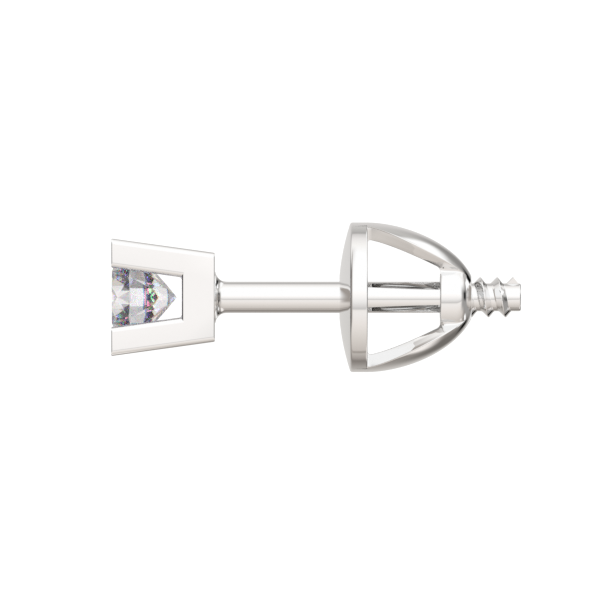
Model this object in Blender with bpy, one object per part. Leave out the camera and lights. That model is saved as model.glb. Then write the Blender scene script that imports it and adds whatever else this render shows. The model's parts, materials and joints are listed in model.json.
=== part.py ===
"""Screw-back stud earring: a round brilliant in a square four-prong setting, and its screw-on nut.

Each piece is modelled along its own axis, +X, from the front of the setting to the tip of the post.
The whole earring then lies on a table, on the setting's front edge and the nut's rim.
"""

import math

import bmesh
import bpy
from mathutils import Vector

MM = 0.001

# Setting: a square head that narrows towards the post, with a slot through it each way
HEAD_LENGTH = 3.43 * MM
HEAD_FRONT_HALF = 1.957 * MM
HEAD_REAR_HALF = 1.483 * MM
PRONG_WIDTH = 0.975 * MM
SLOT_DEPTH = 2.35 * MM
PRONG_ROUNDING = 0.19 * MM
END_ROUNDING = 0.045 * MM

# Stone: a round brilliant whose table is level with the prongs' ends
STONE_RADIUS = 1.717 * MM
TABLE_RADIUS = 0.94 * MM
CROWN_HEIGHT = 0.573 * MM
GIRDLE_HEIGHT = 0.05 * MM
PAVILION_DEPTH = 1.53 * MM
STAR_SHARE = 0.5
LOWER_SHARE = 0.77
SECTORS = 8
SEAT_GAP = 0.03 * MM
SEAT_AHEAD = 0.2 * MM
SEAT_MOUTH_RADIUS = 0.865 * MM

# Post: plain to inside the nut, then a single right-hand thread to the tip
POST_RADIUS = 0.523 * MM
POST_FILLET = 0.43 * MM
FILLET_SUNK = 0.01 * MM
POST_SUNK = 0.3 * MM
SHOULDER_AT = 11.1 * MM
TIP_AT = 13.633 * MM
TIP_ROUNDING = 0.07 * MM
THREAD_ROOT = 0.465 * MM
THREAD_CREST = 0.668 * MM
THREAD_PITCH = 0.567 * MM
THREAD_BASE = 0.4 * MM
THREAD_LAND = 0.04 * MM
THREAD_SUNK = 0.04 * MM
THREAD_END_AT = 13.43 * MM
THREAD_END_ANGLE = 105.0
THREAD_TURNS = 3.4

# Nut: a domed disc, a bell with two windows, and a bored hub
RIM_RADIUS = 2.5 * MM
DOME_SPHERE = 8.0 * MM
DOME_AT = 7.55 * MM
RIM_REAR_AT = 8.52 * MM
RIM_ROUNDING = 0.07 * MM
BELL_REACH = 3.633 * MM
BELL_POWER = 1.75
BELL_WALL = 0.467 * MM
HUB_FRONT_AT = 10.933 * MM
HUB_END_AT = 11.977 * MM
HUB_RADIUS = 1.217 * MM
HOLLOW_ROUNDING = 0.28 * MM
BORE_RADIUS = 0.69 * MM
WINDOW_END_AT = 11.48 * MM
RECESS_END_AT = 11.72 * MM
WINDOW_HALF_ANGLE = 46.0
WINDOW_FLARE = 25.0
WINDOW_FLARE_POWER = 1.7
RECESS_OVERLAP = 0.1 * MM
CUTTER_RADIUS = 4.0 * MM

# How finely curves are divided
POST_SIDES = 32
NUT_SIDES = 48
ARC_STEPS = 5
SMALL_ARC_STEPS = 3
DOME_STEPS = 7
BELL_STEPS = 15
HOLLOW_STEPS = 7
WINDOW_STEPS = 10
RECESS_STEPS = 4
WINDOW_ARC_STEPS = 8
SMOOTH_ANGLE = math.radians(30.0)
MERGE_DISTANCE = 1e-4 * MM


def clear_scene():
    for leftover in list(bpy.data.objects):
        bpy.data.objects.remove(leftover, do_unlink=True)


def make_material(name, colour, roughness, metallic, transmission=0.0):
    material = bpy.data.materials.new(name)
    material.use_nodes = True
    shader = material.node_tree.nodes["Principled BSDF"]
    shader.inputs["Base Color"].default_value = (*colour, 1.0)
    shader.inputs["Roughness"].default_value = roughness
    shader.inputs["Metallic"].default_value = metallic
    shader.inputs["Transmission Weight"].default_value = transmission
    return material


def make_object(name, shape, material=None):
    """Turns a bmesh into an object whose faces point outwards."""
    bmesh.ops.recalc_face_normals(shape, faces=shape.faces)
    mesh = bpy.data.meshes.new(name)
    shape.to_mesh(mesh)
    shape.free()
    piece = bpy.data.objects.new(name, mesh)
    bpy.context.scene.collection.objects.link(piece)
    if material:
        mesh.materials.append(material)
    return piece


def hide_helper(helper):
    helper.hide_render = True
    helper.display_type = "WIRE"


def combine(piece, helper, operation):
    """Adds the helper to the piece, or cuts it away, and keeps the helper out of the model."""
    boolean = piece.modifiers.new(helper.name, "BOOLEAN")
    boolean.operation = operation
    boolean.object = helper
    hide_helper(helper)


def turned(profile, sides, closed):
    """Spins a profile of (along, radius) points round the X axis."""
    shape = bmesh.new()
    corners = [shape.verts.new((along, 0.0, radius)) for along, radius in profile]
    edges = [shape.edges.new(pair) for pair in zip(corners, corners[1:])]
    if closed:
        edges.append(shape.edges.new((corners[-1], corners[0])))
    bmesh.ops.spin(
        shape,
        geom=corners + edges,
        cent=(0.0, 0.0, 0.0),
        axis=(1.0, 0.0, 0.0),
        angle=math.tau,
        steps=sides,
    )
    bmesh.ops.remove_doubles(shape, verts=shape.verts, dist=MERGE_DISTANCE)
    return shape


def arc(centre, radius, start, end, steps=ARC_STEPS):
    """Points along an arc in the (along, radius) plane, angles in degrees from +X."""
    points = []
    for step in range(steps + 1):
        angle = math.radians(start + (end - start) * step / steps)
        points.append((centre[0] + radius * math.cos(angle), centre[1] + radius * math.sin(angle)))
    return points


def head_half(along):
    return HEAD_FRONT_HALF + (HEAD_REAR_HALF - HEAD_FRONT_HALF) * along / HEAD_LENGTH


def head_shape():
    """Four prongs on a solid base: a grid of cells, with only the corner cells before the slot floor."""
    shape = bmesh.new()
    levels = (0.0, SLOT_DEPTH, HEAD_LENGTH)
    grid = {}
    for level, along in enumerate(levels):
        outer = head_half(along)
        inner = outer - PRONG_WIDTH
        places = (-outer, -inner, inner, outer)
        for column, side in enumerate(places):
            for row, height in enumerate(places):
                grid[level, column, row] = shape.verts.new((along, side, height))

    def filled(level, column, row):
        if not (0 <= level <= 1 and 0 <= column <= 2 and 0 <= row <= 2):
            return False
        return level == 1 or (column != 1 and row != 1)

    steps = ((1, 0, 0), (0, 1, 0), (0, 0, 1))
    for level in range(2):
        for column in range(3):
            for row in range(3):
                if not filled(level, column, row):
                    continue
                cell = (level, column, row)
                for axis in range(3):
                    for side in (0, 1):
                        neighbour = list(cell)
                        neighbour[axis] += 1 if side else -1
                        if filled(*neighbour):
                            continue
                        across = [step for number, step in enumerate(steps) if number != axis]
                        start = list(cell)
                        start[axis] += side
                        face = []
                        for first, second in ((0, 0), (1, 0), (1, 1), (0, 1)):
                            face.append(
                                tuple(
                                    start[n] + first * across[0][n] + second * across[1][n]
                                    for n in range(3)
                                )
                            )
                        shape.faces.new([grid[corner] for corner in face])
    bmesh.ops.recalc_face_normals(shape, faces=shape.faces)
    loose = [vert for vert in shape.verts if not vert.link_faces]
    bmesh.ops.delete(shape, geom=loose, context="VERTS")
    return shape


def weigh_edges(shape):
    """Marks edges to round: those that run along the prongs fully, the other outer edges a little."""
    weights = shape.edges.layers.float.new("bevel_weight_edge")
    for edge in shape.edges:
        if not edge.is_convex or edge.calc_face_angle() < SMOOTH_ANGLE:
            continue
        run = edge.verts[1].co - edge.verts[0].co
        lengthwise = abs(run.x) > abs(run.y) + abs(run.z)
        edge[weights] = 1.0 if lengthwise else END_ROUNDING / PRONG_ROUNDING


def make_setting(material):
    shape = head_shape()
    weigh_edges(shape)
    setting = make_object("setting_with_post", shape, material)
    rounding = setting.modifiers.new("edge rounding", "BEVEL")
    rounding.limit_method = "WEIGHT"
    rounding.width = PRONG_ROUNDING
    rounding.segments = 3
    rounding.use_clamp_overlap = True
    return setting


def make_seat():
    """The stone's room between the prongs: its turned outline, a little larger all round."""
    girdle_rear = CROWN_HEIGHT + GIRDLE_HEIGHT
    room = STONE_RADIUS + SEAT_GAP
    profile = [
        (-SEAT_AHEAD, 0.0),
        (-SEAT_AHEAD, SEAT_MOUTH_RADIUS),
        (CROWN_HEIGHT - SEAT_GAP / 2.0, room),
        (girdle_rear + SEAT_GAP / 2.0, room),
        (girdle_rear + PAVILION_DEPTH + 2.0 * SEAT_GAP, 0.0),
    ]
    return make_object("stone seat", turned(profile, NUT_SIDES, False))


def make_post():
    """The post from inside the head to the tip, with a fillet at the head and a shoulder at the thread."""
    root_at = HEAD_LENGTH - POST_SUNK
    flared = POST_RADIUS + POST_FILLET
    profile = [(root_at, 0.0), (root_at, flared)]
    profile += arc((HEAD_LENGTH - FILLET_SUNK + POST_FILLET, flared), POST_FILLET, 180.0, 270.0)
    profile.append((SHOULDER_AT, POST_RADIUS))
    profile.append((SHOULDER_AT + POST_RADIUS - THREAD_ROOT, THREAD_ROOT))
    tip_rounding = (TIP_AT - TIP_ROUNDING, THREAD_ROOT - TIP_ROUNDING)
    profile += arc(tip_rounding, TIP_ROUNDING, 90.0, 0.0, SMALL_ARC_STEPS)
    profile.append((TIP_AT, 0.0))
    return make_object("post", turned(profile, POST_SIDES, False))


def make_thread():
    """The thread's ridge: one trapezium carried along a helix, with its foot sunk into the core."""
    flank = (THREAD_BASE - THREAD_LAND) / 2.0 / (THREAD_CREST - THREAD_ROOT)
    foot = THREAD_BASE / 2.0 + THREAD_SUNK * flank
    section = (
        (-foot, THREAD_ROOT - THREAD_SUNK),
        (-THREAD_LAND / 2.0, THREAD_CREST),
        (THREAD_LAND / 2.0, THREAD_CREST),
        (foot, THREAD_ROOT - THREAD_SUNK),
    )
    shape = bmesh.new()
    count = round(THREAD_TURNS * POST_SIDES)
    rings = []
    for step in range(count + 1):
        back = (count - step) / POST_SIDES
        angle = math.radians(THREAD_END_ANGLE) - math.tau * back
        middle = THREAD_END_AT - THREAD_PITCH * back
        ring = []
        for along, radius in section:
            place = (middle + along, radius * math.cos(angle), radius * math.sin(angle))
            ring.append(shape.verts.new(place))
        rings.append(ring)
    for ring, after in zip(rings, rings[1:]):
        for corner in range(len(section)):
            beyond = (corner + 1) % len(section)
            shape.faces.new((ring[corner], ring[beyond], after[beyond], after[corner]))
    shape.faces.new(rings[0])
    shape.faces.new(rings[-1])
    return make_object("thread ridge", shape)


def make_stone(material):
    """A round brilliant: table, stars, kites, upper and lower halves, and pavilion mains."""
    turn = math.tau / SECTORS
    half_turn = turn / 2.0
    girdle_rear = CROWN_HEIGHT + GIRDLE_HEIGHT
    culet_at = girdle_rear + PAVILION_DEPTH
    crown_slope = CROWN_HEIGHT / (STONE_RADIUS - TABLE_RADIUS)

    # A kite is flat: it runs from a table corner to the girdle, so its side corners lie on that slope
    table_flat = TABLE_RADIUS * math.cos(half_turn)
    star_radius = table_flat + STAR_SHARE * (STONE_RADIUS - table_flat)
    star_at = (star_radius * math.cos(half_turn) - TABLE_RADIUS) * crown_slope
    lower_radius = STONE_RADIUS * (1.0 - LOWER_SHARE)
    lower_at = culet_at - lower_radius * math.cos(half_turn) * PAVILION_DEPTH / STONE_RADIUS

    shape = bmesh.new()

    def ring(along, radius, start, count):
        corners = []
        for number in range(count):
            angle = start + math.tau * number / count
            corners.append(shape.verts.new((along, -radius * math.cos(angle), radius * math.sin(angle))))
        return corners

    table = ring(0.0, TABLE_RADIUS, half_turn, SECTORS)
    stars = ring(star_at, star_radius, turn, SECTORS)
    front = ring(CROWN_HEIGHT, STONE_RADIUS, half_turn, 2 * SECTORS)
    rear = ring(girdle_rear, STONE_RADIUS, half_turn, 2 * SECTORS)
    lower = ring(lower_at, lower_radius, turn, SECTORS)
    culet = shape.verts.new((culet_at, 0.0, 0.0))
    shape.faces.new(table)
    for n in range(SECTORS):
        main = front[2 * n]
        half = front[2 * n + 1]
        next_main = front[(2 * n + 2) % (2 * SECTORS)]
        shape.faces.new((table[n], table[(n + 1) % SECTORS], stars[n]))
        shape.faces.new((table[n], stars[n - 1], main, stars[n]))
        shape.faces.new((stars[n], main, half))
        shape.faces.new((stars[n], half, next_main))
        rear_main = rear[2 * n]
        rear_half = rear[2 * n + 1]
        rear_next = rear[(2 * n + 2) % (2 * SECTORS)]
        shape.faces.new((main, half, rear_half, rear_main))
        shape.faces.new((half, next_main, rear_next, rear_half))
        shape.faces.new((lower[n], rear_main, rear_half))
        shape.faces.new((lower[n], rear_half, rear_next))
        shape.faces.new((culet, lower[n - 1], rear_main, lower[n]))
    bmesh.ops.triangulate(shape, faces=[face for face in shape.faces if len(face.verts) == 4])
    return make_object("stone", shape, material)


def bell_radius(along):
    share = max(0.0, along - RIM_REAR_AT) / BELL_REACH
    return RIM_RADIUS * math.sqrt(1.0 - share**BELL_POWER)


def rim_rounding_at():
    """Where the middle of the rounding between dome and rim lies along the axis."""
    reach = math.sqrt((DOME_SPHERE - RIM_ROUNDING) ** 2 - (RIM_RADIUS - RIM_ROUNDING) ** 2)
    return DOME_AT + DOME_SPHERE - reach


def nut_profile():
    """The nut's half section, all the way round: dome, rim, bell, bore, hollow and the disc's back."""
    rounding = (rim_rounding_at(), RIM_RADIUS - RIM_ROUNDING)
    lean = math.asin(rounding[1] / (DOME_SPHERE - RIM_ROUNDING))
    inner_reach = DOME_SPHERE * math.sin(lean)
    profile = []
    for step in range(DOME_STEPS):
        radius = BORE_RADIUS + (inner_reach - BORE_RADIUS) * step / DOME_STEPS
        profile.append((DOME_AT + DOME_SPHERE - math.sqrt(DOME_SPHERE**2 - radius**2), radius))
    profile += arc(rounding, RIM_ROUNDING, 180.0 - math.degrees(lean), 90.0, SMALL_ARC_STEPS)
    for step in range(BELL_STEPS + 1):
        share = math.sin(math.pi / 2.0 * step / BELL_STEPS)
        along = RIM_REAR_AT + (HUB_END_AT - RIM_REAR_AT) * share
        profile.append((along, bell_radius(along)))
    profile += [(HUB_END_AT, BORE_RADIUS), (HUB_FRONT_AT, BORE_RADIUS)]
    profile += hollow_end()
    last = profile[-1][0]
    for step in range(1, HOLLOW_STEPS + 1):
        along = last + (RIM_REAR_AT - last) * step / HOLLOW_STEPS
        profile.append((along, bell_radius(along) - BELL_WALL))
    profile.append((RIM_REAR_AT, BORE_RADIUS))
    return profile


def hollow_end():
    """The rounded corner where the hollow meets the hub, as a curve from the hub's face to the wall."""
    corner = Vector((HUB_FRONT_AT, bell_radius(HUB_FRONT_AT) - BELL_WALL))
    face_point = Vector((HUB_FRONT_AT, corner.y - HOLLOW_ROUNDING))
    wall_along = HUB_FRONT_AT - HOLLOW_ROUNDING
    wall_point = Vector((wall_along, bell_radius(wall_along) - BELL_WALL))
    points = []
    for step in range(SMALL_ARC_STEPS + 2):
        share = step / (SMALL_ARC_STEPS + 1)
        towards_corner = face_point.lerp(corner, share)
        towards_wall = corner.lerp(wall_point, share)
        points.append(tuple(towards_corner.lerp(towards_wall, share)))
    return points


def window_angle(along):
    """Half the angle that a window opens, in degrees from the middle of its side."""
    share = (along - RIM_REAR_AT) / (WINDOW_END_AT - RIM_REAR_AT)
    return WINDOW_HALF_ANGLE + WINDOW_FLARE * max(0.0, 1.0 - share) ** WINDOW_FLARE_POWER


def make_window(name, side, start, end, inner_radius, steps):
    """A cutter with radial walls: an arc of the given inner radius at each station along the axis."""
    shape = bmesh.new()
    rings = []
    for step in range(steps + 1):
        along = start + (end - start) * step / steps
        half = math.radians(window_angle(along))
        ring = []
        for radius, way in ((inner_radius, 1), (CUTTER_RADIUS, -1)):
            for number in range(WINDOW_ARC_STEPS + 1):
                angle = way * half * (2.0 * number / WINDOW_ARC_STEPS - 1.0)
                place = (along, side * radius * math.cos(angle), radius * math.sin(angle))
                ring.append(shape.verts.new(place))
        rings.append(ring)
    for ring, after in zip(rings, rings[1:]):
        for corner in range(len(ring)):
            beyond = (corner + 1) % len(ring)
            shape.faces.new((ring[corner], ring[beyond], after[beyond], after[corner]))
    shape.faces.new(rings[0])
    shape.faces.new(rings[-1])
    return make_object(name, shape)


def make_nut(material):
    nut = make_object("screw_nut", turned(nut_profile(), NUT_SIDES, True), material)
    recess_at = HUB_FRONT_AT - RECESS_OVERLAP
    for name, side in (("front", -1), ("back", 1)):
        window = make_window(name + " window", side, RIM_REAR_AT, HUB_FRONT_AT, BORE_RADIUS, WINDOW_STEPS)
        combine(nut, window, "DIFFERENCE")
        recess = make_window(name + " recess", side, recess_at, RECESS_END_AT, HUB_RADIUS, RECESS_STEPS)
        combine(nut, recess, "DIFFERENCE")
    return nut


def shade(piece):
    piece.data.shade_smooth()
    piece.data.set_sharp_from_angle(angle=SMOOTH_ANGLE)


def resting_frame():
    """The tilt at which the setting's front edge and the nut's rim both touch the table."""
    rise = RIM_RADIUS - RIM_ROUNDING - (HEAD_FRONT_HALF - END_ROUNDING)
    run = rim_rounding_at() - END_ROUNDING
    reach = math.hypot(rise, run)
    return math.atan2(rise, run) + math.asin((RIM_ROUNDING - END_ROUNDING) / reach)


def lay_down(pieces):
    """Hangs every piece and helper on one empty, tilts it, and sets the lowest point at z = 0."""
    frame = bpy.data.objects.new("earring frame", None)
    for made in bpy.context.scene.objects:
        made.parent = frame
    bpy.context.scene.collection.objects.link(frame)
    frame.rotation_euler = (0.0, -resting_frame(), 0.0)
    bpy.context.view_layer.update()
    graph = bpy.context.evaluated_depsgraph_get()
    corners = []
    for piece in pieces:
        solid = piece.evaluated_get(graph)
        corners += [solid.matrix_world @ vert.co for vert in solid.data.vertices]
    middle = [(min(c[n] for c in corners) + max(c[n] for c in corners)) / 2.0 for n in range(2)]
    frame.location = (-middle[0], -middle[1], -min(c[2] for c in corners))


def main():
    clear_scene()
    gold = make_material("polished white gold", (0.88, 0.87, 0.85), 0.05, 1.0)
    diamond = make_material("cut diamond", (0.97, 0.98, 1.0), 0.0, 0.0, 1.0)
    setting = make_setting(gold)
    combine(setting, make_post(), "UNION")
    combine(setting, make_thread(), "UNION")
    combine(setting, make_seat(), "DIFFERENCE")
    stone = make_stone(diamond)
    nut = make_nut(gold)
    shade(setting)
    shade(nut)
    lay_down((setting, stone, nut))


main()
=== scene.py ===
# Screw-back stud earring on a plain pale floor: fine pieces, polished metal, cut stone, light and camera
import json
import math

import bmesh
import bpy
from mathutils import Matrix, Vector


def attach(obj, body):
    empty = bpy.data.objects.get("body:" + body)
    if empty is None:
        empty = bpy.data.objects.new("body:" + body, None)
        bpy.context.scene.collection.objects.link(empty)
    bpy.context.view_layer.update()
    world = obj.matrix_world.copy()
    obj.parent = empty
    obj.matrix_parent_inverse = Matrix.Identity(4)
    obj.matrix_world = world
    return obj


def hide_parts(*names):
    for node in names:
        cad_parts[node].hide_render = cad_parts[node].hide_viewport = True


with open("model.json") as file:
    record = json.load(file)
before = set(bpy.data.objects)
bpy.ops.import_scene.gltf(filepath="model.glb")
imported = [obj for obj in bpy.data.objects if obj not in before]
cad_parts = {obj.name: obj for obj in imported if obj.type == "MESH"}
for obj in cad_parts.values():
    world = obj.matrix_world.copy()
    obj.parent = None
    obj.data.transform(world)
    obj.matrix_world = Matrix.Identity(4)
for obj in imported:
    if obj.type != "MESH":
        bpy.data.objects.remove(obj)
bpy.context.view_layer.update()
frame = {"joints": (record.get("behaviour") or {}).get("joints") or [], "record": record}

mm = 0.001
sharpFrom = 30.0             # degrees between two faces, from which their edge stays sharp
weldWithin = 1e-4            # mm

# The earring's own frame: its axis from the nut's joint, and the front of the setting from the lobe seat
joint = frame["joints"][0]
seat = frame["record"]["mounts"][0]
axis = Vector(joint["axis"]).normalized()
upward = Vector((-axis.z, 0.0, axis.x))

settingSizes = {
    "length": 3.43,          # mm, front of the prongs to the face that meets the lobe
    "frontHalf": 1.9565,
    "rearHalf": 1.483,
    "prong": 0.975,          # square prongs
    "slotDepth": 2.335,
    "longRounding": 0.19,    # along the prongs
    "endRounding": 0.045,    # across their ends
    "slotRounding": 0.085,   # in the corners of the slots
    "slotEnd": 0.08,         # along the edges of their floors
    "roundingSteps": 6,
    "lobeSeatDrop": 1.15,    # the mount's distance below the axis
}
toFront = axis * settingSizes["length"] * mm
toAxis = upward * settingSizes["lobeSeatDrop"] * mm
origin = Vector(seat["pos_m"]) - toFront + toAxis
place = Matrix((
    (axis.x, 0.0, upward.x, origin.x),
    (0.0, 1.0, 0.0, 0.0),
    (axis.z, 0.0, upward.z, origin.z),
    (0.0, 0.0, 0.0, 1.0),
))


def linear(code):
    # sRGB hex to the linear values that the shaders take
    values = [int(code[n:n + 2], 16) / 255.0 for n in (1, 3, 5)]
    return [v / 12.92 if v <= 0.04045 else ((v + 0.055) / 1.055) ** 2.4 for v in values] + [1.0]


def addNode(tree, kind, settings=None, links=None):
    # settings go to the node's own options or, by socket name or number, to its inputs;
    # links name the outputs that feed its inputs
    node = tree.nodes.new(kind)
    for key, value in (settings or {}).items():
        if isinstance(key, str) and hasattr(node, key) and key not in node.inputs:
            setattr(node, key, value)
        else:
            node.inputs[key].default_value = value
    for key, source in (links or {}).items():
        tree.links.new(source, node.inputs[key])
    return node


def finishMesh(name, shape, sharpAngle=sharpFrom):
    # smooth where faces nearly agree, sharp elsewhere; sizes in mm along the earring's axis
    bmesh.ops.recalc_face_normals(shape, faces=shape.faces)
    mesh = bpy.data.meshes.new(name)
    shape.to_mesh(mesh)
    shape.free()
    mesh.transform(Matrix.Scale(mm, 4))
    mesh.transform(place)
    mesh.shade_smooth()
    mesh.set_sharp_from_angle(angle=math.radians(sharpAngle))
    piece = bpy.data.objects.new(name, mesh)
    bpy.context.scene.collection.objects.link(piece)
    return piece


def combine(piece, helper, operation):
    boolean = piece.modifiers.new(helper.name, "BOOLEAN")
    boolean.operation = operation
    boolean.object = helper


def applyModifiers(piece, helpers):
    # the modifiers' result becomes the mesh, and the helper objects go
    graph = bpy.context.evaluated_depsgraph_get()
    mesh = bpy.data.meshes.new_from_object(piece.evaluated_get(graph), depsgraph=graph)
    piece.modifiers.clear()
    old = piece.data
    piece.data = mesh
    bpy.data.meshes.remove(old)
    for helper in helpers:
        bpy.data.objects.remove(helper, do_unlink=True)
    mesh.shade_smooth()
    mesh.set_sharp_from_angle(angle=math.radians(sharpFrom))
    evened = piece.modifiers.new("evened", "WEIGHTED_NORMAL")
    evened.keep_sharp = True


def cellSolid(counts, filled, spot):
    # the skin of the filled cells of a grid; counts has the cells each way, a negative one closes on itself;
    # filled says whether a cell is solid, and spot where a corner of the grid lies
    shape = bmesh.new()
    verts = {}
    wraps = [count < 0 for count in counts]
    sizes = [abs(count) for count in counts]

    def vert(corner):
        corner = tuple(c % sizes[n] if wraps[n] else c for n, c in enumerate(corner))
        if corner not in verts:
            verts[corner] = shape.verts.new(spot(*corner))
        return verts[corner]

    def full(cell):
        cell = tuple(c % sizes[n] if wraps[n] else c for n, c in enumerate(cell))
        return all(0 <= c < sizes[n] for n, c in enumerate(cell)) and filled(*cell)

    for i in range(sizes[0]):
        for j in range(sizes[1]):
            for k in range(sizes[2]):
                if not full((i, j, k)):
                    continue
                for way in range(3):
                    others = [n for n in range(3) if n != way]
                    for side in (0, 1):
                        beside = [i, j, k]
                        beside[way] += 1 if side else -1
                        if full(tuple(beside)):
                            continue
                        corners = []
                        for a, b in ((0, 0), (1, 0), (1, 1), (0, 1)):
                            corner = [i, j, k]
                            corner[way] += side
                            corner[others[0]] += a
                            corner[others[1]] += b
                            corners.append(vert(tuple(corner)))
                        shape.faces.new(corners)
    return shape, verts


def turned(profile, sides):
    # a profile of (along, radius), turned round the earring's axis
    shape = bmesh.new()
    corners = [shape.verts.new((along, 0.0, radius)) for along, radius in profile]
    edges = [shape.edges.new(pair) for pair in zip(corners, corners[1:])]
    bmesh.ops.spin(shape, geom=corners + edges, cent=(0, 0, 0), axis=(1, 0, 0), angle=math.tau, steps=sides)
    bmesh.ops.remove_doubles(shape, verts=shape.verts, dist=weldWithin)
    return shape


def arc(centre, radius, start, end, steps):
    angles = [math.radians(start + (end - start) * step / steps) for step in range(steps + 1)]
    return [(centre[0] + radius * math.cos(a), centre[1] + radius * math.sin(a)) for a in angles]


def spaced(*parts):
    # stations from the first value on, with the given steps to each next one
    stations = [parts[0]]
    for steps, end in zip(parts[1::2], parts[2::2]):
        start = stations[-1]
        stations += [start + (end - start) * n / steps for n in range(1, steps + 1)]
    return stations


# Setting: square head, filleted post and thread, one solid
postSizes = {
    "radius": 0.523,         # mm, and places along the axis from the front of the prongs
    "buried": 0.3,           # how far it begins inside the head
    "fillet": 0.268,         # its height, its length along the post, and how it flattens out
    "filletLength": 0.567,
    "filletPower": 4.7,
    "filletAt": 0.03,        # its start behind the head, and the steep foot there: height and slope
    "filletFoot": 0.06,
    "footSlope": 0.1,
    "shoulderAt": 11.1,      # where it narrows to the thread's root
    "tipAt": 13.632,
    "tipRounding": 0.07,
    "sides": 128,
    "filletSteps": 24,
    "plainSteps": 24,
    "tipSteps": 6,
}
threadSizes = {
    "root": 0.465,           # mm
    "crest": 0.668,
    "pitch": 0.567,
    "headFlank": 0.25,       # width of its flanks, and the share of them that is straight
    "tipFlank": 0.2,
    "straight": 0.6,
    "flankEnd": 0.9,         # the share after which a flank goes into the post
    "land": 0.025,           # width of its crest
    "sunk": 0.04,            # how far its foot goes into the post
    "endAt": 13.43,
    "endPull": 0.05,         # how far its end falls back
    "endPullRate": 3.0,      # so that this is gone after a third of a turn
    "endAngle": 105.0,
    "turns": 3.4,
    "stepsPerTurn": 96,
    "straightSteps": 2,
    "curveSteps": 5,
}


def headHalf(along):
    s = settingSizes
    return s["frontHalf"] + (s["rearHalf"] - s["frontHalf"]) * along / s["length"]


def makeHead():
    s = settingSizes
    levels = (0.0, s["slotDepth"], s["length"])

    def spot(i, j, k):
        outer = headHalf(levels[i])
        places = (-outer, s["prong"] - outer, outer - s["prong"], outer)
        return levels[i], places[j], places[k]

    def filled(i, j, k):
        # four prongs in front, and the whole square behind them
        return i == 1 or (j != 1 and k != 1)

    shape = cellSolid((2, 3, 3), filled, spot)[0]
    bmesh.ops.recalc_face_normals(shape, faces=shape.faces)
    weights = shape.edges.layers.float.new("bevel_weight_edge")
    for edge in shape.edges:
        if edge.calc_face_angle() < math.radians(sharpFrom):
            continue
        run = (edge.verts[1].co - edge.verts[0].co).normalized()
        alongHead = abs(run.x) > 0.9
        acrossHead = abs(run.x) < 0.1
        atFloor = abs(edge.verts[0].co.x - s["slotDepth"]) < s["endRounding"]
        if edge.is_convex:
            across = s["slotEnd"] if atFloor else s["endRounding"]
            edge[weights] = 1.0 if alongHead else across / s["longRounding"]
        elif acrossHead:
            edge[weights] = s["slotRounding"] / s["longRounding"]
    head = finishMesh("setting_fine", shape)
    rounding = head.modifiers.new("rounding", "BEVEL")
    rounding.limit_method = "WEIGHT"
    rounding.width = s["longRounding"] * mm
    rounding.segments = s["roundingSteps"]
    return head


def makeSeat():
    # the room for the stone between the prongs, open to the front
    s = stoneSizes
    gap = s["seatGap"]
    room = s["radius"] + gap
    slope = (s["radius"] - s["table"]) / s["crown"]
    girdleRear = s["crown"] + s["girdle"]
    profile = [
        (s["seatFrontAt"], 0.0),
        (s["seatFrontAt"], s["table"] + 2.0 * gap - s["seatNarrowing"] * slope),
        (s["crown"] - gap / 2.0, room),
        (girdleRear + gap / 2.0, room),
        (girdleRear + s["pavilion"] + 2.0 * gap, 0.0),
    ]
    return finishMesh("seat", turned(profile, s["girdleSides"]))


def makePost():
    s = postSizes
    root = threadSizes["root"]
    head = settingSizes["length"]
    filletAt = head + s["filletAt"]
    foot = s["radius"] + s["fillet"] + s["filletFoot"]
    profile = [
        (head - s["buried"], 0.0),
        (head - s["buried"], foot),
        (filletAt - s["filletFoot"] * s["footSlope"], foot),
    ]
    for step in range(s["filletSteps"] + 1):
        share = step / s["filletSteps"]
        rise = s["fillet"] * (1.0 - share) ** s["filletPower"]
        profile.append((filletAt + s["filletLength"] * share, s["radius"] + rise))
    plain = spaced(profile[-1][0], s["plainSteps"], s["shoulderAt"])
    profile += [(along, s["radius"]) for along in plain[1:]]
    profile.append((s["shoulderAt"] + s["radius"] - root, root))
    tipCentre = (s["tipAt"] - s["tipRounding"], root - s["tipRounding"])
    profile += arc(tipCentre, s["tipRounding"], 90.0, 0.0, s["tipSteps"])
    profile.append((s["tipAt"], 0.0))
    return finishMesh("post", turned(profile, s["sides"]))


def makeThread():
    # a sharp crest, a long flank towards the head and a short one towards the tip, both hollow at the root
    s = threadSizes
    rise = s["crest"] - s["root"]
    curve = 1.0 - s["straight"]
    slope = 1.0 / (s["straight"] + curve / 2.0)
    flanks = []
    for width, sign in ((s["headFlank"], -1.0), (s["tipFlank"], 1.0)):
        flank = []
        for share in spaced(0.0, s["straightSteps"], s["straight"], s["curveSteps"], s["flankEnd"]):
            if share <= s["straight"]:
                height = 1.0 - share * slope
            else:
                height = slope * (1.0 - share) ** 2 / (2.0 * curve)
            flank.append((sign * (s["land"] / 2.0 + width * share), s["root"] + rise * height))
        flank.append((sign * (s["land"] / 2.0 + width), s["root"] - s["sunk"]))
        flanks.append(flank)
    section = flanks[0][::-1] + flanks[1]
    shape = bmesh.new()
    count = round(s["turns"] * s["stepsPerTurn"])
    rings = []
    for step in range(count + 1):
        back = (count - step) / s["stepsPerTurn"]     # turns from the thread's end
        angle = math.radians(s["endAngle"]) - math.tau * back
        pull = s["endPull"] * max(0.0, 1.0 - back * s["endPullRate"])
        middle = s["endAt"] - s["pitch"] * back - pull
        ring = [(middle + along, r * math.cos(angle), r * math.sin(angle)) for along, r in section]
        rings.append([shape.verts.new(corner) for corner in ring])
    for ring, after in zip(rings, rings[1:]):
        for n in range(len(section)):
            m = (n + 1) % len(section)
            shape.faces.new((ring[n], ring[m], after[m], after[n]))
    shape.faces.new(rings[0])
    shape.faces.new(rings[-1])
    return finishMesh("ridge", shape)


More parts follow.
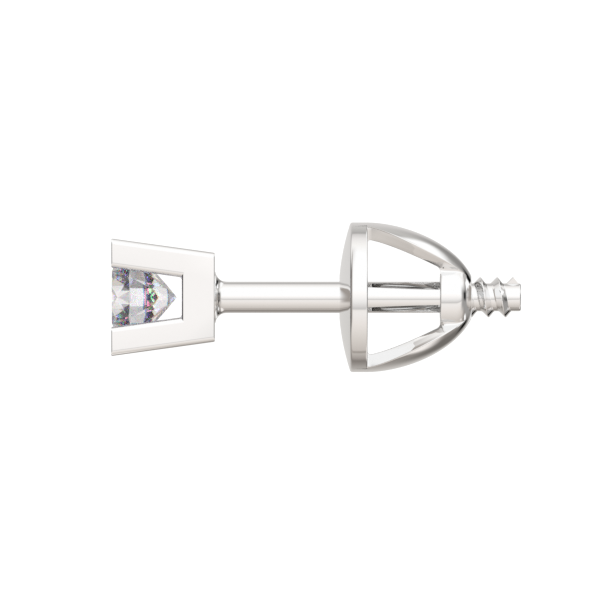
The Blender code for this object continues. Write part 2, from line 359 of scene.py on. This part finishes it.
def makeSetting():
    setting = makeHead()
    seatCut = makeSeat()
    post = makePost()
    ridge = makeThread()
    combine(setting, seatCut, "DIFFERENCE")
    combine(setting, post, "UNION")
    combine(setting, ridge, "UNION")
    applyModifiers(setting, (seatCut, post, ridge))
    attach(setting, "earring")
    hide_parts("setting_with_post")
    return setting


# Stone: a round brilliant, cut facet by facet from a turned blank
stoneSizes = {
    "radius": 1.717,         # mm, a 3.4 mm brilliant, about 0.15 carat
    "table": 0.94,
    "crown": 0.573,
    "girdle": 0.08,
    "pavilion": 1.51,
    "mains": 8,              # pavilion mains, and as many kites and stars
    "starShare": 0.5,        # how far the stars reach from the table's edge to the girdle
    "lowerShare": 0.77,      # how far the lower halves reach from the girdle to the culet
    "facetAngle": 3.5,       # degrees between two facets, from which their edge stays sharp
    "cutWithin": 1e-6,       # a corner this near to a facet's plane lies on it
    "girdleSides": 128,
    "seatGap": 0.03,         # room round it in the setting
    "seatFrontAt": -0.2,     # where the cut for it starts, in front of the prongs
    "seatNarrowing": 0.1,    # how far the crown's slope goes on past the table, for its radius there
}


def makeStone():
    s = stoneSizes
    radius, table, crown = s["radius"], s["table"], s["crown"]
    girdleRear = crown + s["girdle"]
    culet = girdleRear + s["pavilion"]
    blank = [(0.0, 0.0), (0.0, radius), (culet, radius), (culet, 0.0)]
    shape = turned(blank, s["girdleSides"])
    turn = math.tau / s["mains"]
    slope = crown / (radius - table)
    inner = table * math.cos(turn / 2.0)
    star = inner + s["starShare"] * (radius - inner)
    starAt = (star * math.cos(turn / 2.0) - table) * slope
    lower = radius * (1.0 - s["lowerShare"])
    lowerAt = culet - lower * math.cos(turn / 2.0) * s["pavilion"] / radius

    def around(along, distance, angle):
        return Vector((along, -distance * math.cos(angle), distance * math.sin(angle)))

    def cut(a, b, c):
        # takes away what lies beyond the plane through three points
        normal = (b - a).cross(c - a).normalized()
        inside = Vector((crown, 0.0, 0.0))
        if normal.dot(inside - a) > 0.0:
            normal = -normal
        geometry = shape.verts[:] + shape.edges[:] + shape.faces[:]
        made = bmesh.ops.bisect_plane(shape, geom=geometry, dist=s["cutWithin"],
                                      plane_co=a, plane_no=normal, clear_outer=True)
        rim = [e for e in made["geom_cut"] if isinstance(e, bmesh.types.BMEdge)]
        bmesh.ops.holes_fill(shape, edges=rim, sides=0)

    for n in range(s["mains"]):
        main = turn * (n + 0.5)
        frontEdge = around(crown, radius, main)
        rearEdge = around(girdleRear, radius, main)
        cut(around(0.0, table, main), around(starAt, star, main + turn / 2), frontEdge)
        cut(Vector((culet, 0.0, 0.0)), around(lowerAt, lower, main + turn / 2), rearEdge)
    for n in range(s["mains"]):
        main = turn * (n + 0.5)
        middle = turn * (n + 1.0)
        starTip = around(starAt, star, middle)
        lowerTip = around(lowerAt, lower, middle)
        cut(around(0.0, table, main), around(0.0, table, main + turn), starTip)
        for side in (-0.5, 0.5):
            edge = middle + turn * side
            cut(starTip, around(crown, radius, edge), around(crown, radius, middle))
            cut(lowerTip, around(girdleRear, radius, edge), around(girdleRear, radius, middle))
    bmesh.ops.remove_doubles(shape, verts=shape.verts, dist=weldWithin)
    stone = finishMesh("stone_fine", shape, s["facetAngle"])
    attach(stone, "earring")
    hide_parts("stone")
    return stone


# Nut: domed disc, two broad ribs and a bored hub, one solid
nutSizes = {
    "rim": 2.4965,           # mm, and places along the axis from the front of the prongs
    "dome": 8.0,             # radius of the dome's sphere
    "domeAt": 7.55,
    "rimRearAt": 8.52,
    "bellReach": 3.633,
    "bellPower": 1.75,
    "wall": 0.467,
    "hubFrontAt": 10.933,
    "hubEndAt": 11.977,
    "hubRadius": 1.217,
    "hubBlend": 0.22,        # how softly the hub's band turns into the bell's end
    "bore": 0.69,
    "windowEndAt": 11.48,
    "halfAngle": 46.0,       # degrees, half of a window at its narrow end
    "flare": 25.0,           # more of it at the disc
    "flarePower": 1.7,
    "hollowEnd": 0.92,       # where the hollow's rounded end meets the hub under a rib
    "hollowRounding": 0.5,   # its length there, and its length and depth at a rib's sides
    "sideRounding": 0.13,
    "sideDepth": 0.085,
    "hubShare": 0.9,         # the most of the hollow that the hub fills under a rib
    "bandLip": 0.015,        # how the end of a rib rises over the hub's band, and how fast
    "bandRise": 1.2,
    "rimRounding": 0.066,
    "windowRounding": 0.035,
    "innerRounding": 0.021,  # on the ribs' edges inside the hollow
    "ribFoot": 0.12,         # fillets
    "ribSideFoot": 0.05,
    "hubFoot": 0.14,
    "roundingRoom": 0.8,     # the most of the cell beside it that a rounding takes
    "roundingSteps": 4,
    "weldWithin": 1e-5,
}
nutCells = {
    "bore": 2,               # outwards: up to the hub's band, up to the hollow, and through the shell
    "hub": 1,
    "shell": 3,
    "rib": 32,               # round the axis, of each rib and window
    "window": 36,
    "footLength": 0.15,      # mm along the axis: at the disc, and where the hollow ends
    "hollowLength": 0.3,
    "ribSteps": 24,          # along the axis
    "hollowSteps": 9,
    "bandSteps": 4,
    "turnSteps": 9,
    "endSteps": 9,
    "besideRib": 0.075,      # share of a window that the cell beside a rib takes at the hub
}


def bellRadius(along):
    s = nutSizes
    share = max(0.0, along - s["rimRearAt"]) / s["bellReach"]
    return s["rim"] * math.sqrt(1.0 - share ** s["bellPower"])


def bellEnd(radius):
    # where the bell has shrunk to this radius
    s = nutSizes
    share = (1.0 - (radius / s["rim"]) ** 2) ** (1.0 / s["bellPower"])
    return s["rimRearAt"] + s["bellReach"] * share


def hubRadius(along):
    # the band's cylinder and the bell's end, with a soft turn between them
    s = nutSizes
    bell = bellRadius(along)
    near = max(0.0, s["hubBlend"] - abs(bell - s["hubRadius"]))
    return min(bell, s["hubRadius"]) - near * near / (4.0 * s["hubBlend"])


def windowAngle(along):
    s = nutSizes
    share = (along - s["rimRearAt"]) / (s["windowEndAt"] - s["rimRearAt"])
    return math.radians(s["halfAngle"] + s["flare"] * min(1.0, max(0.0, 1.0 - share)) ** s["flarePower"])


def makeNut():
    s, cells = nutSizes, nutCells
    perRib, perWindow = cells["rib"], cells["window"]
    perHalf = perRib + perWindow
    hubLine = cells["bore"]
    innerLine = hubLine + cells["hub"]
    top = innerLine + cells["shell"]
    footEnd = s["rimRearAt"] + cells["footLength"]
    hollowAt = s["hubFrontAt"] - cells["hollowLength"]
    turnAt = bellEnd(s["hubRadius"]) - s["hubBlend"]
    turnEnd = bellEnd(s["hubRadius"] - s["hubBlend"])
    hubAt = s["hubFrontAt"]
    ribs = spaced(s["rimRearAt"], 1, footEnd, cells["ribSteps"], hollowAt, cells["hollowSteps"], hubAt)
    hub = spaced(hubAt, cells["bandSteps"], turnAt, cells["turnSteps"], turnEnd)
    end = spaced(turnEnd, cells["endSteps"], s["hubEndAt"])
    stations = [s["domeAt"]] + ribs + hub[1:] + end[1:]
    ribStart, hubStart, bandEnd = 1, len(ribs), len(ribs) + len(hub) - 1

    def angleOf(i, k):
        half = windowAngle(max(stations[i], s["rimRearAt"]))
        base, k = (0.0, k) if k < perHalf else (math.pi, k - perHalf)
        if k <= perRib:
            return base + math.pi / 2.0 + (math.pi / 2.0 - half) * (2.0 * k / perRib - 1.0)
        share = (k - perRib) / perWindow
        if i >= hubStart:
            wider = cells["besideRib"] - 1.0 / perWindow     # for the fillets beside the ribs
            share += wider * (1.0 - 2.0 * share) / (1.0 - 2.0 / perWindow)
        return base + math.pi + half * (2.0 * share - 1.0)

    def underRib(k):
        # 0 at a rib's sides, 1 along its middle
        k = k % perHalf
        near = min(1.0, 2.0 * min(k, perRib - k) / perRib) if k < perRib else 0.0
        return near * near * (3.0 - 2.0 * near)

    def bounds(i, k):
        # radii of the bore, the hub's band, the hollow and the bell
        along = stations[i]
        outer = bellRadius(along)
        if i >= bandEnd:
            return s["bore"], outer, outer, outer
        if i > hubStart:
            band = hubRadius(along)
            rise = s["bandLip"] + s["bandRise"] * (along - s["hubFrontAt"])
            return s["bore"], band, min((band + outer) / 2.0, band + rise), outer
        inner = outer - s["wall"]
        share = underRib(k)
        room = s["sideRounding"] + (s["hollowRounding"] - s["sideRounding"]) * share
        deep = s["sideDepth"] + (inner - s["hollowEnd"] - s["sideDepth"]) * share
        corner = max(0.0, 1.0 - (s["hubFrontAt"] - along) / room)
        inner -= deep * (1.0 - math.sqrt(1.0 - corner * corner))
        band = s["hubRadius"] if share == 0.0 else min(s["hubRadius"], inner * s["hubShare"])
        return s["bore"], band, inner, outer

    def spot(i, j, k):
        angle = angleOf(i, k)
        if i == 0:
            radius = s["bore"] + (s["rim"] - s["bore"]) * j / top
            along = s["dome"] + s["domeAt"] - math.sqrt(s["dome"] ** 2 - radius ** 2)
        else:
            lines = (0, hubLine, innerLine, top)
            part = 0 if j < hubLine else 1 if j < innerLine else 2
            low, high = bounds(i, k)[part:part + 2]
            radius = low + (high - low) * (j - lines[part]) / (lines[part + 1] - lines[part])
            along = stations[i]
        return along, radius * math.cos(angle), radius * math.sin(angle)

    def onRib(k):
        return k % perHalf < perRib

    def filled(i, j, k):
        if i < ribStart:
            return True
        if i < hubStart:
            return j >= innerLine and onRib(k)
        return j < hubLine or (i < bandEnd and onRib(k))

    shape, verts = cellSolid((len(stations) - 1, top, -2 * perHalf), filled, spot)
    weights = shape.edges.layers.float.new("bevel_weight_edge")
    widest = max(s["ribFoot"], s["hubFoot"])

    def weigh(a, b, width):
        edge = shape.edges.get((verts[a], verts[b])) if a in verts and b in verts else None
        if edge:
            edge[weights] = width / widest

    for k in range(2 * perHalf):
        after = (k + 1) % (2 * perHalf)
        weigh((0, top, k), (0, top, after), s["rimRounding"])
        weigh((0, 0, k), (0, 0, after), s["windowRounding"])
        if onRib(k):
            weigh((ribStart, innerLine, k), (ribStart, innerLine, after), s["ribFoot"])
        else:
            weigh((ribStart, top, k), (ribStart, top, after), s["rimRounding"])
            weigh((hubStart, hubLine, k), (hubStart, hubLine, after), s["windowRounding"])
    for side in (0, perRib, perHalf, perHalf + perRib):
        for j in range(innerLine, top):
            weigh((ribStart, j, side), (ribStart, j + 1, side), s["ribSideFoot"])
        for i in range(ribStart, bandEnd):
            band, inner, outer = bounds(i + 1, side)[1:]
            shellRoom = (outer - inner) / cells["shell"] * s["roundingRoom"]
            hubRoom = (inner - band) * s["roundingRoom"]
            weigh((i, top, side), (i + 1, top, side), min(s["windowRounding"], shellRoom))
            if i < hubStart:
                weigh((i, innerLine, side), (i + 1, innerLine, side), s["innerRounding"])
            else:
                weigh((i, hubLine, side), (i + 1, hubLine, side), min(s["hubFoot"], hubRoom))
    bmesh.ops.remove_doubles(shape, verts=shape.verts, dist=s["weldWithin"])
    nut = finishMesh("nut_fine", shape)
    rounding = nut.modifiers.new("rounding", "BEVEL")
    rounding.limit_method = "WEIGHT"
    rounding.width = widest * mm
    rounding.segments = s["roundingSteps"]
    rounding.use_clamp_overlap = False
    applyModifiers(nut, ())
    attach(nut, "nut")
    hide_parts("screw_nut")
    return nut


# Materials
metalLook = {
    "colour": "#F1F1F1",          # rhodium plate over white gold
    "roughness": (0.021, 0.042),
    "polish": 0.8,                # mm, the polishing marks, drawn far coarser than the real 0.02
}


def rhodiumPlatedWhiteGold():
    # cast 14-carat white gold, polished and rhodium plated: a bright, neutral mirror, faintly uneven in gloss
    material = bpy.data.materials.new("rhodiumPlatedWhiteGold")
    material.use_nodes = True
    tree = material.node_tree
    shader = tree.nodes["Principled BSDF"]
    shader.inputs["Base Color"].default_value = linear(metalLook["colour"])
    shader.inputs["Metallic"].default_value = 1.0
    where = addNode(tree, "ShaderNodeTexCoord")
    scale = 1.0 / (metalLook["polish"] * mm)
    marks = addNode(tree, "ShaderNodeTexNoise", {"Scale": scale, "Detail": 3.0},
                    {"Vector": where.outputs["Object"]})
    smoothest, roughest = metalLook["roughness"]
    spread = addNode(tree, "ShaderNodeMapRange", {"To Min": smoothest, "To Max": roughest},
                     {"Value": marks.outputs["Fac"]})
    tree.links.new(spread.outputs["Result"], shader.inputs["Roughness"])
    return material


diamondLook = {
    "tint": "#FDFDFF",
    "index": 2.417,
    # red, green and blue; spread wider than in a real one, because it acts only where the eye looks in
    "spread": (2.35, 2.417, 2.51),
    "parts": ("#D47575", "#75D475", "#7575D4"),
    "girdle": "#E4E4E6",
    "girdleRoughness": (0.35, 0.55),
    "girdleGrain": 0.1,           # mm, the marks of the grinding, drawn coarser than real ones
}


def cutDiamond():
    # colourless diamond, polished facets: clear, with strong white reflections and coloured sparkle
    material = bpy.data.materials.new("cutDiamond")
    material.use_nodes = True
    tree = material.node_tree
    tree.nodes.remove(tree.nodes["Principled BSDF"])
    plain = addNode(tree, "ShaderNodeBsdfGlass",
                    {"Color": linear(diamondLook["tint"]), "IOR": diamondLook["index"], "Roughness": 0.0})
    split = None
    for index, tint in zip(diamondLook["spread"], diamondLook["parts"]):
        one = addNode(tree, "ShaderNodeBsdfGlass", {"Color": linear(tint), "IOR": index, "Roughness": 0.0})
        if split:
            one = addNode(tree, "ShaderNodeAddShader", {}, {0: split.outputs[0], 1: one.outputs[0]})
        split = one
    path = addNode(tree, "ShaderNodeLightPath")
    both = addNode(tree, "ShaderNodeMixShader", {},
                   {0: path.outputs["Is Camera Ray"], 1: plain.outputs[0], 2: split.outputs[0]})
    tree.links.new(both.outputs[0], tree.nodes["Material Output"].inputs["Surface"])
    return material


def brutedDiamond():
    # the girdle is left as it was ground: a frosted, pale grey band between the polished facets
    material = bpy.data.materials.new("brutedDiamond")
    material.use_nodes = True
    tree = material.node_tree
    shader = tree.nodes["Principled BSDF"]
    shader.inputs["Base Color"].default_value = linear(diamondLook["girdle"])
    shader.inputs["IOR"].default_value = diamondLook["index"]
    where = addNode(tree, "ShaderNodeTexCoord")
    scale = 1.0 / (diamondLook["girdleGrain"] * mm)
    grain = addNode(tree, "ShaderNodeTexNoise", {"Scale": scale, "Detail": 2.0},
                    {"Vector": where.outputs["Object"]})
    smoothest, roughest = diamondLook["girdleRoughness"]
    spread = addNode(tree, "ShaderNodeMapRange", {"To Min": smoothest, "To Max": roughest},
                     {"Value": grain.outputs["Fac"]})
    tree.links.new(spread.outputs["Result"], shader.inputs["Roughness"])
    return material


studio = {
    # tones around the earring's axis, by degrees up from the camera's side: over the top, behind, under
    "around": (
        (-180, "#D0CECB"),   # rear wall at the earring's level
        (-155, "#BFBBB7"),
        (-135, "#A39E99"),
        (-121, "#8A847F"),
        (-116, "#827C77"),   # dark edge where wall and table meet
        (-109, "#A19A95"),
        (-98, "#B9B3AD"),
        (-94, "#9A938D"),    # the earring's own shade under it
        (-90, "#C3BCB6"),    # table right under
        (-63, "#D8D2CC"),
        (-43, "#E7E1DC"),
        (-25, "#EEEAE7"),    # table in front, lit from above
        (-20, "#EBE7E3"),
        (-18, "#C4C2C0"),    # its far edge
        (-14, "#D6D3D1"),
        (-8, "#E8E6E4"),
        (0, "#F7F4F2"),
        (7, "#FFFCFA"),
        (12, "#FFFFFF"),     # big light over the camera
        (73, "#FFFFFF"),
        (89, "#F6F4F1"),
        (103, "#E8E5E3"),
        (114, "#CFCCCA"),
        (118, "#A9A7A5"),    # its back edge
        (122, "#B3B1AF"),
        (133, "#C0BEBB"),
        (152, "#CECBC9"),
        (180, "#D4D2D0"),
    ),
    "strength": 1.137,
    # what shines through the stone: tones behind it by elevation, and the dim room on the camera's side
    "behindStone": (
        (-90, "#8A8886"),
        (-55, "#B0AEAC"),
        (-40, "#CFC8BF"),
        (-27, "#93918F"),
        (-14, "#D6D4D2"),
        (0, "#F0EEEC"),
        (12, "#DEDCDA"),
        (27, "#BDBBB9"),
        (40, "#D6D5D3"),
        (60, "#A0A09E"),
        (90, "#707070"),
    ),
    "beforeStone": "#4A484B",
    "roomEdge": (100, 140),  # how far round to each side the room is full, and gone
    # small lamps all over that room: first one, spacing and half size, in degrees each way
    "lamps": {
        "azimuth": (-11.6, 30.4, 3.2),
        "elevation": (7.0, 16.0, 2.8),
        "tone": "#D2DAFF",
        "strength": 2.0,
    },
    "stoneStrength": 1.35,
    "backdropStrength": 1.1,
    # panels, later ones over earlier: azimuth from the camera's side towards the post's tip and elevation
    # of the middle, half sizes each way, and softness, all in degrees
    "panels": (
        {"tone": "#A59E98", "at": (-45, 18), "half": (10, 40), "soft": 28},    # shaded wall
        {"tone": "#9A9896", "at": (106, -3), "half": (30, 10), "soft": 26},    # room beside
        {"tone": "#8A8886", "at": (148, 22), "half": (6, 6), "soft": 22},
        {"tone": "#6E6A66", "at": (147, -32), "half": (7, 5), "soft": 20},
        {"tone": "#0C0C0C", "at": (139, 16), "half": (4, 2), "soft": 8},       # black cards
        {"tone": "#060606", "at": (143, -22), "half": (3, 1), "soft": 6},
        {"tone": "#2A2A2B", "at": (92, 3), "half": (5, 3), "soft": 9},
        {"tone": "#FFFFFF", "at": (119, 15), "half": (9, 4), "soft": 4},       # strip lights
        {"tone": "#FFFFFF", "at": (118, -27), "half": (6, 2), "soft": 4},
        {"tone": "#FFFFFF", "at": (152, -2), "half": (5, 6), "soft": 8},
        {"tone": "#FFFFFF", "at": (122, 51), "half": (24, 5), "soft": 12},     # box light
        {"tone": "#F4EFEB", "at": (118, -58), "half": (20, 4), "soft": 14},    # its glow below
        {"tone": "#2A2A2B", "at": (-90, 0), "half": (16, 24), "soft": 18},     # dark room
    ),
}
floorLook = {
    "card": "#D9D8D7",
    "glow": 0.55,
    # painted sheen: strength of the white glow that stands for the card's reflection at flat angles
    "paintedSheen": 1.1,
    "paintedSheenFrom": (0.9, 0.98),     # how flat it is seen where the painted sheen starts, and where it is all painted sheen
    "radius": 3.0,                # m
    "sides": 64,
}


def cardWithPaintedSheen():
    # white card: a soft shadow under the earring, and a painted sheen, a white glow that takes over where it
    # is seen at a flat angle
    material = bpy.data.materials.new("cardWithPaintedSheen")
    material.use_nodes = True
    tree = material.node_tree
    tree.nodes.remove(tree.nodes["Principled BSDF"])
    card = addNode(tree, "ShaderNodeBsdfDiffuse", {"Color": linear(floorLook["card"])})
    glow = addNode(tree, "ShaderNodeEmission", {"Color": linear("#FFFFFF"), "Strength": floorLook["glow"]})
    lit = addNode(tree, "ShaderNodeAddShader", {}, {0: card.outputs[0], 1: glow.outputs[0]})
    # painted sheen: white emission in place of the card's reflection of the white room at flat angles
    paintedSheen = addNode(tree, "ShaderNodeEmission", {"Color": linear("#FFFFFF"), "Strength": floorLook["paintedSheen"]})
    facing = addNode(tree, "ShaderNodeLayerWeight", {"Blend": 0.5})
    first, full = floorLook["paintedSheenFrom"]
    flat = addNode(tree, "ShaderNodeMapRange", {"From Min": first, "From Max": full},
                   {"Value": facing.outputs["Facing"]})
    mixed = addNode(tree, "ShaderNodeMixShader", {},
                    {0: flat.outputs["Result"], 1: lit.outputs[0], 2: paintedSheen.outputs[0]})
    tree.links.new(mixed.outputs[0], tree.nodes["Material Output"].inputs["Surface"])
    return material


def fillRamp(ramp, tones, low, high):
    # the tones at their angles, over a ramp that runs from the low angle to the high one
    stops = ramp.color_ramp.elements
    stops.remove(stops[1])
    for number, (degrees, tone) in enumerate(tones):
        stop = stops.new((degrees - low) / (high - low)) if number else stops[0]
        stop.color = linear(tone)


def makeWorld():
    # a small photo studio by direction: a tone for each angle around the axis, then the panels over it;
    # rays through the stone see lights of their own, and the camera a white backdrop
    world = bpy.data.worlds.new("studio")
    bpy.context.scene.world = world
    world.use_nodes = True
    tree = world.node_tree
    where = addNode(tree, "ShaderNodeTexCoord").outputs["Generated"]
    shares = []
    for way in (axis, (0.0, -1.0, 0.0), upward):
        share = addNode(tree, "ShaderNodeVectorMath", {"operation": "DOT_PRODUCT", 1: way}, {0: where})
        shares.append(share.outputs["Value"])
    tipward, toCamera, up = shares
    turn = addNode(tree, "ShaderNodeMath", {"operation": "ARCTAN2"}, {0: up, 1: toCamera}).outputs[0]
    rampPlace = addNode(tree, "ShaderNodeMath", {"operation": "MULTIPLY_ADD", 1: 1.0 / math.tau, 2: 0.5},
                        {0: turn})
    around = addNode(tree, "ShaderNodeValToRGB", {}, {0: rampPlace.outputs[0]})
    fillRamp(around, studio["around"], -180.0, 180.0)
    sideways = addNode(tree, "ShaderNodeMath", {"operation": "ARCTAN2"}, {0: tipward, 1: toCamera}).outputs[0]
    azimuth = addNode(tree, "ShaderNodeMath", {"operation": "DEGREES"}, {0: sideways}).outputs[0]
    rising = addNode(tree, "ShaderNodeMath", {"operation": "ARCSINE"}, {0: up}).outputs[0]
    elevation = addNode(tree, "ShaderNodeMath", {"operation": "DEGREES"}, {0: rising}).outputs[0]

    colour = around.outputs["Color"]
    for panel in studio["panels"]:
        over = []
        for angle, middle, half in zip((azimuth, elevation), panel["at"], panel["half"]):
            away = addNode(tree, "ShaderNodeMath", {"operation": "SUBTRACT", 1: middle}, {0: angle})
            distance = addNode(tree, "ShaderNodeMath", {"operation": "ABSOLUTE"}, {0: away.outputs[0]})
            edge = addNode(tree, "ShaderNodeMapRange", {
                "interpolation_type": "SMOOTHSTEP",
                "From Min": half,
                "From Max": half + panel["soft"],
                "To Min": 1.0,
                "To Max": 0.0,
            }, {"Value": distance.outputs[0]})
            over.append(edge.outputs["Result"])
        share = addNode(tree, "ShaderNodeMath", {"operation": "MULTIPLY"}, {0: over[0], 1: over[1]})
        mixed = addNode(tree, "ShaderNodeMix", {"data_type": "RGBA", 7: linear(panel["tone"])},
                        {0: share.outputs[0], 6: colour})
        colour = mixed.outputs[2]

    raised = addNode(tree, "ShaderNodeMapRange", {"From Min": -90.0, "From Max": 90.0}, {"Value": elevation})
    behind = addNode(tree, "ShaderNodeValToRGB", {}, {0: raised.outputs["Result"]})
    fillRamp(behind, studio["behindStone"], -90.0, 90.0)
    folded = addNode(tree, "ShaderNodeMath", {"operation": "ABSOLUTE"}, {0: azimuth})
    full, gone = studio["roomEdge"]
    before = addNode(tree, "ShaderNodeMapRange", {
        "interpolation_type": "SMOOTHSTEP", "From Min": full, "From Max": gone, "To Min": 1.0, "To Max": 0.0,
    }, {"Value": folded.outputs[0]})
    through = addNode(tree, "ShaderNodeMix", {"data_type": "RGBA", 7: linear(studio["beforeStone"])},
                      {0: before.outputs["Result"], 6: behind.outputs["Color"]})

    lampLit = before.outputs["Result"]
    for angle, way in ((azimuth, "azimuth"), (elevation, "elevation")):
        first, spacing, half = studio["lamps"][way]
        shifted = addNode(tree, "ShaderNodeMath", {"operation": "SUBTRACT", 1: first}, {0: angle})
        away = addNode(tree, "ShaderNodeMath", {"operation": "PINGPONG", 1: spacing / 2.0},
                       {0: shifted.outputs[0]})
        inside = addNode(tree, "ShaderNodeMath", {"operation": "LESS_THAN", 1: half}, {0: away.outputs[0]})
        both = addNode(tree, "ShaderNodeMath", {"operation": "MULTIPLY"}, {0: lampLit, 1: inside.outputs[0]})
        lampLit = both.outputs[0]
    strengths = {1: studio["lamps"]["strength"], 2: studio["stoneStrength"]}
    glow = addNode(tree, "ShaderNodeMath", {"operation": "MULTIPLY_ADD", **strengths}, {0: lampLit})
    lampTone = addNode(tree, "ShaderNodeMix", {"data_type": "RGBA", 7: linear(studio["lamps"]["tone"])},
                       {0: lampLit, 6: through.outputs[2]})

    seen = addNode(tree, "ShaderNodeLightPath")
    background = addNode(tree, "ShaderNodeBackground", {"Strength": studio["strength"]}, {"Color": colour})
    stoneLight = addNode(tree, "ShaderNodeBackground", {},
                         {"Color": lampTone.outputs[2], "Strength": glow.outputs[0]})
    backdrop = addNode(tree, "ShaderNodeBackground",
                       {"Color": linear("#FFFFFF"), "Strength": studio["backdropStrength"]})
    throughStone, inView = seen.outputs["Is Transmission Ray"], seen.outputs["Is Camera Ray"]
    lit = addNode(tree, "ShaderNodeMixShader", {},
                  {0: throughStone, 1: background.outputs[0], 2: stoneLight.outputs[0]})
    shown = addNode(tree, "ShaderNodeMixShader", {}, {0: inView, 1: lit.outputs[0], 2: backdrop.outputs[0]})
    tree.links.new(shown.outputs[0], tree.nodes["World Output"].inputs["Surface"])


def makeFloor():
    # the studio's own tones stand for the table in the metal, so mirrored rays pass the floor
    sides, radius = floorLook["sides"], floorLook["radius"]
    bpy.ops.mesh.primitive_circle_add(vertices=sides, radius=radius, fill_type="NGON")
    floor = bpy.context.object
    floor.name = "floor"
    floor.data.materials.append(cardWithPaintedSheen())
    floor.visible_glossy = False
    floor.visible_transmission = False
    floor.visible_diffuse = False
    floor.visible_shadow = False


view = {
    "distance": 500.0,       # mm
    "across": 20.0,          # mm that the picture's width shows
    "middle": 6.267,         # mm along the axis from the setting's front to the picture's middle
    "drop": 0.09,            # mm from the axis down to the picture's middle
    "sensor": 36.0,          # mm
    "clip": (0.01, 10.0),    # m
}


def makeCamera():
    # level with the surface and square to the earring's axis, which lies across the picture
    target = origin + axis * view["middle"] * mm - upward * view["drop"] * mm
    camera = bpy.data.objects.new("camera", bpy.data.cameras.new("camera"))
    bpy.context.scene.collection.objects.link(camera)
    back = Vector((0.0, -1.0, 0.0))
    camera.matrix_world = Matrix((
        (axis.x, upward.x, back.x, target.x + back.x * view["distance"] * mm),
        (axis.y, upward.y, back.y, target.y + back.y * view["distance"] * mm),
        (axis.z, upward.z, back.z, target.z + back.z * view["distance"] * mm),
        (0.0, 0.0, 0.0, 1.0),
    ))
    camera.data.sensor_width = view["sensor"]
    camera.data.lens = view["sensor"] * view["distance"] / view["across"]
    camera.data.clip_start, camera.data.clip_end = view["clip"]
    bpy.context.scene.camera = camera


def dress(piece, *materials):
    piece.data.materials.clear()
    for material in materials:
        piece.data.materials.append(material)


print("making the camera, floor and light")
makeCamera()
makeFloor()
makeWorld()
bpy.context.scene.view_settings.view_transform = "Standard"
cycles = bpy.context.scene.cycles
cycles.max_bounces = 32      # light goes round inside the stone and between the nut's ribs many times
cycles.glossy_bounces = 16
cycles.transmission_bounces = 32
metal = rhodiumPlatedWhiteGold()
print("making the setting")
setting = makeSetting()
dress(setting, metal)
print("making the stone")
stone = makeStone()
dress(stone, cutDiamond(), brutedDiamond())
for face in stone.data.polygons:
    onGirdle = abs(face.normal.dot(axis)) < 0.1
    face.material_index = 1 if onGirdle else 0
print("making the nut")
nut = makeNut()
dress(nut, metal)
for piece in (setting, stone, nut):
    print(piece.name, "triangles", sum(len(p.vertices) - 2 for p in piece.data.polygons))
